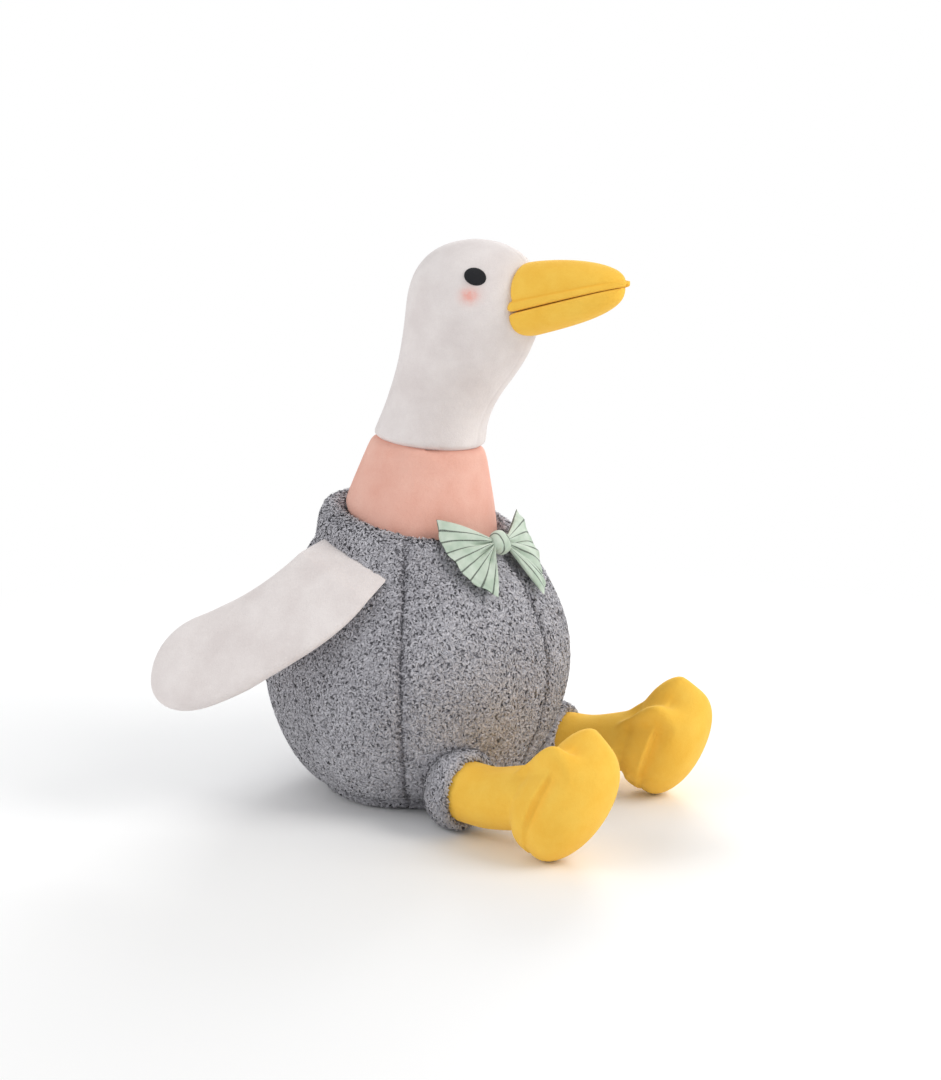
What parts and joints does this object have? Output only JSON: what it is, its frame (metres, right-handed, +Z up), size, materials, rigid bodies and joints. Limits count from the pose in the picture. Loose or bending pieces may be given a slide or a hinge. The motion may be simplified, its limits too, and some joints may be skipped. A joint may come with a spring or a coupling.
{
  "type": "plush goose",
  "caption": "Seated plush goose with a white head, a pink neck band, a round grey fleece body, flat wings, yellow legs and a striped bow.",
  "frame": {"origin": "on the floor, under the middle of the body", "axes": "+Z up, -Y the way the goose looks, -X its right side"},
  "size_m": [0.3174, 0.2932, 0.3685],
  "materials": {
    "grey_fleece": "matte curly pile",
    "white_velvet": "matte short pile",
    "pink_velvet": "matte short pile",
    "yellow_velvet": "matte short pile",
    "black_thread": "satin stitch",
    "striped_cotton": "matte woven",
    "filling": "loose fibre"
  },
  "bodies": {
    "root": {"body_front_right": "grey_fleece", "body_front_left": "grey_fleece", "body_back_right": "grey_fleece", "body_back_left": "grey_fleece", "body_base": "grey_fleece", "body_filling": "filling", "collar_hem": "grey_fleece", "neck_band": "pink_velvet", "head_right": "white_velvet", "head_left": "white_velvet", "head_filling": "filling", "beak_upper": "yellow_velvet", "beak_lip": "yellow_velvet", "beak_lower": "yellow_velvet", "eye_right": "black_thread", "eye_left": "black_thread", "wing_right": "white_velvet", "wing_left": "white_velvet", "thigh_right": "grey_fleece", "thigh_left": "grey_fleece", "leg_right": "yellow_velvet", "leg_left": "yellow_velvet", "bow_right": "striped_cotton", "bow_left": "striped_cotton", "bow_knot": "striped_cotton"}
  },
  "joints": []
}
